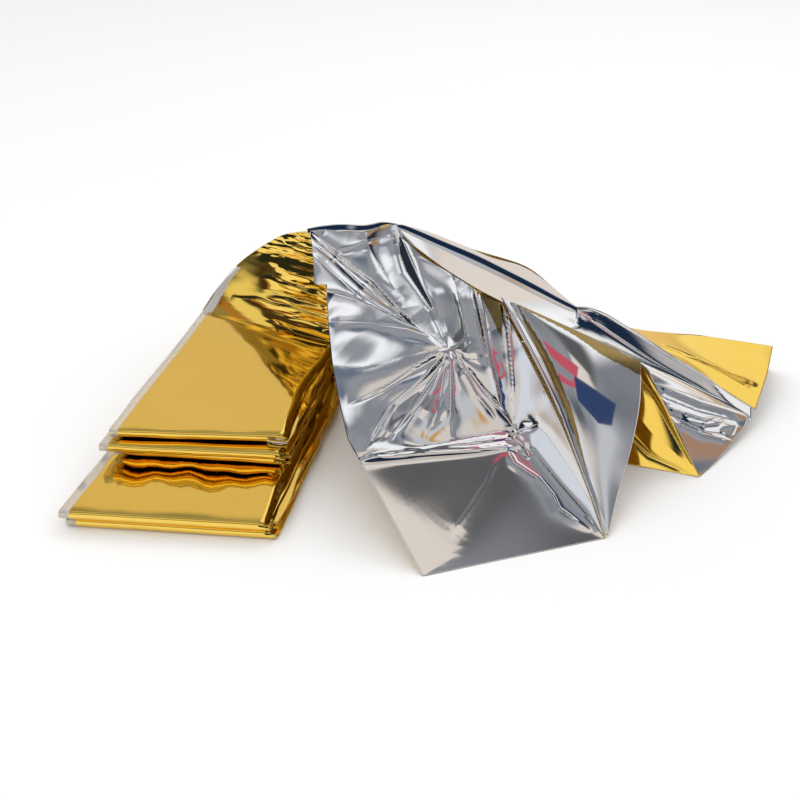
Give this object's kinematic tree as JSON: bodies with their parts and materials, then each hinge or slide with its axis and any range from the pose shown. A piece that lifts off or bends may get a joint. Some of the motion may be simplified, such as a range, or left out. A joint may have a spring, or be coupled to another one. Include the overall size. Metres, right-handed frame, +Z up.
{
  "type": "emergency foil blanket",
  "caption": "Mirror film emergency blanket, gold on one side and silver on the other, half unfolded from its flat packet into a low creased tent that rests on a surface",
  "frame": {"origin": "middle of the bounding box, on the surface that the blanket rests on", "axes": "+X to the right, from the folded packet to the free gold end; +Y to the back, behind the arch; +Z up"},
  "size_m": [0.4114, 0.2784, 0.1075],
  "materials": {
    "metallised_film": "thin mirror film, silver on one side and gold on the other, creased, with a clear cut edge"
  },
  "bodies": {
    "root": {"foil_blanket": "metallised_film"}
  },
  "joints": []
}
